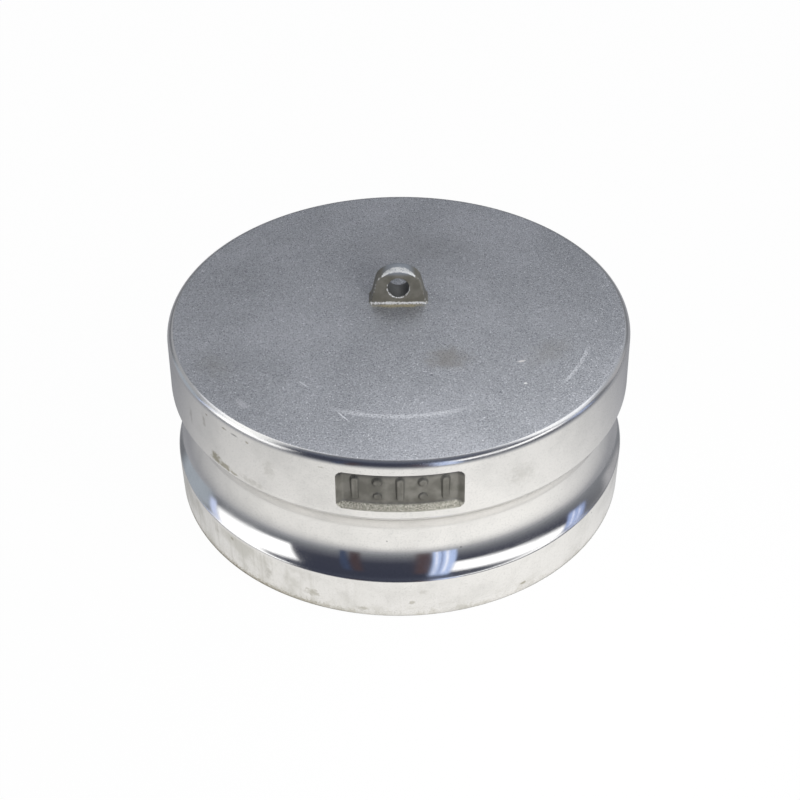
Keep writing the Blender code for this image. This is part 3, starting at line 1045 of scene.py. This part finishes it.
def set_camera():
    """The photograph's view: pitched down from the front, and rolled a little."""
    data = bpy.data.cameras.new("camera")
    data.lens = LENS
    data.sensor_width = SENSOR_WIDTH
    data.clip_start = 0.01
    camera = new_object("camera", data)
    forward = Vector((0.0, math.cos(CAMERA_PITCH), -math.sin(CAMERA_PITCH)))
    level = Vector((1.0, 0.0, 0.0))
    upward = level.cross(forward)
    right = level * math.cos(CAMERA_ROLL) + upward * math.sin(CAMERA_ROLL)
    upward = upward * math.cos(CAMERA_ROLL) - level * math.sin(CAMERA_ROLL)
    turn = Matrix((right, upward, -forward)).transposed().to_4x4()
    camera.matrix_world = Matrix.Translation(CAMERA_PLACE) @ turn
    bpy.context.scene.camera = camera


FLOOR_HALF = 6.0
FLOOR_WHITE_SHARE = 0.98
FLOOR_MIRROR_SHARE = 0.90
# How far the mirrored floor has faded to grey, by distance in metres from a place in front of
# the part's middle
FLOOR_FADE_Y = -0.06
FLOOR_FADE = (
    (0.06, rgb(0.0, 0.0, 0.0)),
    (0.12, rgb(0.40, 0.40, 0.40)),
    (0.22, rgb(0.72, 0.72, 0.72)),
    (0.45, rgb(1.0, 1.0, 1.0)),
)


def lay_floor():
    """A pale floor that keeps the shadow: white to the camera, grey in the metal near the part,
    with a painted shadow behind it and to its left, and clear from under."""
    bm = bmesh.new()
    bmesh.ops.create_grid(bm, x_segments=1, y_segments=1, size=FLOOR_HALF)
    floor = new_object("floor", mesh_from(bm, "floor"))
    material = bpy.data.materials.new("floor")
    material.use_nodes = True
    sheet = NodeSheet(material.node_tree)
    material.node_tree.nodes.remove(material.node_tree.nodes["Principled BSDF"])
    out = material.node_tree.nodes["Material Output"]
    matt = sheet.add("ShaderNodeBsdfDiffuse", rgb(0.86, 0.86, 0.85)).outputs[0]
    white = sheet.add("ShaderNodeEmission", rgb(1.0, 1.0, 1.0), 1.0).outputs[0]
    place = sheet.add("ShaderNodeTexCoord").outputs["Object"]
    x, y = sheet.axes(place)[:2]
    # Painted shadow: the floor seen in the metal is dark behind the part and a little darker to its
    # left
    floor_with_painted_shadow = sheet.blend(sheet.span(y, -0.060, 0.050), rgb(0.94, 0.93, 0.905), rgb(0.27, 0.275, 0.30))
    floor_with_painted_shadow = sheet.vector("SCALE", floor_with_painted_shadow, None, None, sheet.span(x, -0.10, 0.04, 0.84, 1.0))
    from_middle = sheet.vector("SUBTRACT", place, (0.0, FLOOR_FADE_Y, 0.0))
    far = sheet.ramp(sheet.length(from_middle), FLOOR_FADE)
    sheen = sheet.blend(far, floor_with_painted_shadow, rgb(0.33, 0.335, 0.36))
    mirrored = sheet.add("ShaderNodeEmission", sheen, 1.0).outputs[0]
    rays = sheet.add("ShaderNodeLightPath").outputs
    camera_part = sheet.times(rays["Is Camera Ray"], FLOOR_WHITE_SHARE)
    mixed = sheet.add("ShaderNodeMixShader", camera_part, matt, white)
    glossy_part = sheet.times(rays["Is Glossy Ray"], FLOOR_MIRROR_SHARE)
    mixed = sheet.add("ShaderNodeMixShader", glossy_part, mixed.outputs[0], mirrored)
    from_under = sheet.add("ShaderNodeNewGeometry").outputs["Backfacing"]
    clear = sheet.add("ShaderNodeBsdfTransparent").outputs[0]
    mixed = sheet.add("ShaderNodeMixShader", from_under, mixed.outputs[0], clear)
    sheet.feed(out.inputs["Surface"], mixed.outputs[0])
    floor.data.materials.append(material)


def direction_band(sheet, value, low, high, edge):
    """1 between two angles, falling to 0 over a soft edge at each."""
    rise = sheet.span(value, low - edge, low + edge)
    fall = sheet.span(value, high - edge, high + edge, 1.0, 0.0)
    return sheet.times(rise, fall)


# Dim room in front of the part and brighter wall behind it, by degrees above the horizon
ROOM = (
    (0.0, rgb(0.30, 0.31, 0.33)),
    (6.0, rgb(0.19, 0.20, 0.22)),
    (13.0, rgb(0.115, 0.12, 0.145)),
    (22.0, rgb(0.048, 0.052, 0.075)),
    (50.0, rgb(0.043, 0.048, 0.072)),
    (66.0, rgb(0.085, 0.095, 0.13)),
    (90.0, rgb(0.14, 0.15, 0.18)),
)
WALL = (
    (0.0, rgb(0.20, 0.21, 0.23)),
    (20.0, rgb(0.17, 0.175, 0.19)),
    (29.0, rgb(0.21, 0.213, 0.225)),
    (34.0, rgb(0.36, 0.365, 0.385)),
    (38.0, rgb(0.64, 0.65, 0.685)),
    (43.0, rgb(1.12, 1.15, 1.23)),
    (57.0, rgb(1.22, 1.25, 1.33)),
    (69.0, rgb(0.24, 0.25, 0.28)),
    (90.0, rgb(0.14, 0.15, 0.18)),
)
BLUE_GAP = rgb(0.48, 0.60, 0.90)
WINDOW = rgb(1.35, 1.36, 1.38)
PANE_EDGE_UP_AND_DOWN = 3.5
# Windows, blue gaps, dim panes and dark posts: compass from the front in degrees, height in
# degrees, soft edge at the sides, colour
PANES = (
    ((-165.0, -108.0), (20.0, 45.0), 4.0, rgb(0.36, 0.37, 0.39)),
    ((-160.0, -98.0), (50.0, 63.0), 3.0, rgb(1.10, 1.11, 1.10)),
    ((-107.0, -94.0), (30.0, 60.0), 2.0, rgb(1.00, 1.01, 1.00)),
    ((-125.0, -100.0), (-5.0, 24.0), 4.0, rgb(0.36, 0.40, 0.45)),
    ((-101.0, -96.5), (8.0, 36.0), 0.7, rgb(0.62, 0.70, 0.96)),
    ((-97.0, -75.0), (38.0, 57.0), 2.0, rgb(1.15, 1.16, 1.16)),
    ((-96.0, -53.0), (13.0, 40.0), 1.5, WINDOW),
    ((-29.0, -25.0), (0.0, 40.0), 1.5, rgb(0.052, 0.070, 0.125)),
    ((-24.0, -19.0), (0.0, 40.0), 1.5, rgb(0.070, 0.050, 0.056)),
    ((7.0, 14.0), (0.0, 44.0), 1.5, rgb(0.085, 0.060, 0.066)),
    ((15.0, 26.0), (-4.0, 50.0), 0.8, BLUE_GAP),
    ((16.4, 17.2), (-4.0, 48.0), 0.2, rgb(1.05, 1.08, 1.20)),
    ((19.0, 19.7), (-4.0, 48.0), 0.2, rgb(0.12, 0.14, 0.26)),
    ((21.2, 22.4), (-4.0, 45.0), 0.2, rgb(1.00, 1.04, 1.17)),
    ((26.0, 86.0), (27.0, 44.5), 1.5, WINDOW),
    ((86.0, 97.0), (14.0, 34.0), 1.0, rgb(0.36, 0.45, 0.74)),
    ((89.0, 90.2), (16.0, 33.0), 0.3, rgb(0.90, 0.96, 1.15)),
    ((93.0, 94.0), (16.0, 33.0), 0.3, rgb(0.90, 0.96, 1.15)),
    ((98.0, 112.0), (38.0, 60.0), 2.0, rgb(1.05, 1.07, 1.10)),
    ((113.0, 165.0), (24.0, 45.0), 4.0, rgb(0.40, 0.42, 0.46)),
    ((104.0, 160.0), (50.0, 63.0), 3.0, rgb(1.10, 1.12, 1.15)),
    ((112.0, 130.0), (6.0, 32.0), 4.0, rgb(0.42, 0.42, 0.44)),
)

# Soft lamp near the front
LAMP_PLACE = (0.065, -0.11, 0.115)
LAMP_AIM = (0.0, -0.01, 0.045)
LAMP_SIZE = 0.06
LAMP_POWER = 0.20


def hang_lamp():
    """A soft lamp near the front, which matt skins see and polished ones don't mirror."""
    data = bpy.data.lights.new("near_lamp", "AREA")
    data.shape = "DISK"
    data.size = LAMP_SIZE
    data.energy = LAMP_POWER
    lamp = new_object("near_lamp", data)
    lamp.location = LAMP_PLACE
    aim = Vector(LAMP_AIM) - lamp.location
    lamp.rotation_euler = aim.to_track_quat("-Z", "Y").to_euler()
    lamp.visible_glossy = False
    lamp.visible_camera = False


def light_studio():
    """A dim room in front, a window on either side of it and a brighter wall behind."""
    world = bpy.data.worlds.new("studio")
    bpy.context.scene.world = world
    world.use_nodes = True
    sheet = NodeSheet(world.node_tree)
    background = world.node_tree.nodes["Background"]
    direction = sheet.add("ShaderNodeTexCoord").outputs["Generated"]
    x, y, z = sheet.axes(direction)
    side = sheet.compass(x, y)
    rise = sheet.math("DEGREES", sheet.math("ARCSINE", z))
    share = sheet.math("DIVIDE", rise, 90.0)
    room, wall = (
        sheet.ramp(share, [(degrees / 90.0, colour) for degrees, colour in stops])
        for stops in (ROOM, WALL)
    )
    wall = sheet.vector("SCALE", wall, None, None, sheet.span(x, -0.14, 0.14, 0.88, 1.06))
    tone = sheet.blend(sheet.span(y, -0.15, 0.35), room, wall)
    for compass, height, edge, colour in PANES:
        pane = sheet.times(
            direction_band(sheet, side, compass[0], compass[1], edge),
            direction_band(sheet, rise, height[0], height[1], PANE_EDGE_UP_AND_DOWN),
        )
        tone = sheet.blend(pane, tone, colour)
    rays = sheet.add("ShaderNodeLightPath").outputs
    tone = sheet.blend(rays["Is Camera Ray"], tone, rgb(1.0, 1.0, 1.0))
    sheet.feed(background.inputs["Color"], tone)


def main():
    scene = bpy.context.scene
    scene.view_settings.view_transform = "Standard"
    set_camera()
    lay_floor()
    light_studio()
    hang_lamp()
    panel_skin = cast_panel()
    make_plug_casting(panel_skin)
    make_lug_casting()
    make_panel_marks(panel_skin)


main()
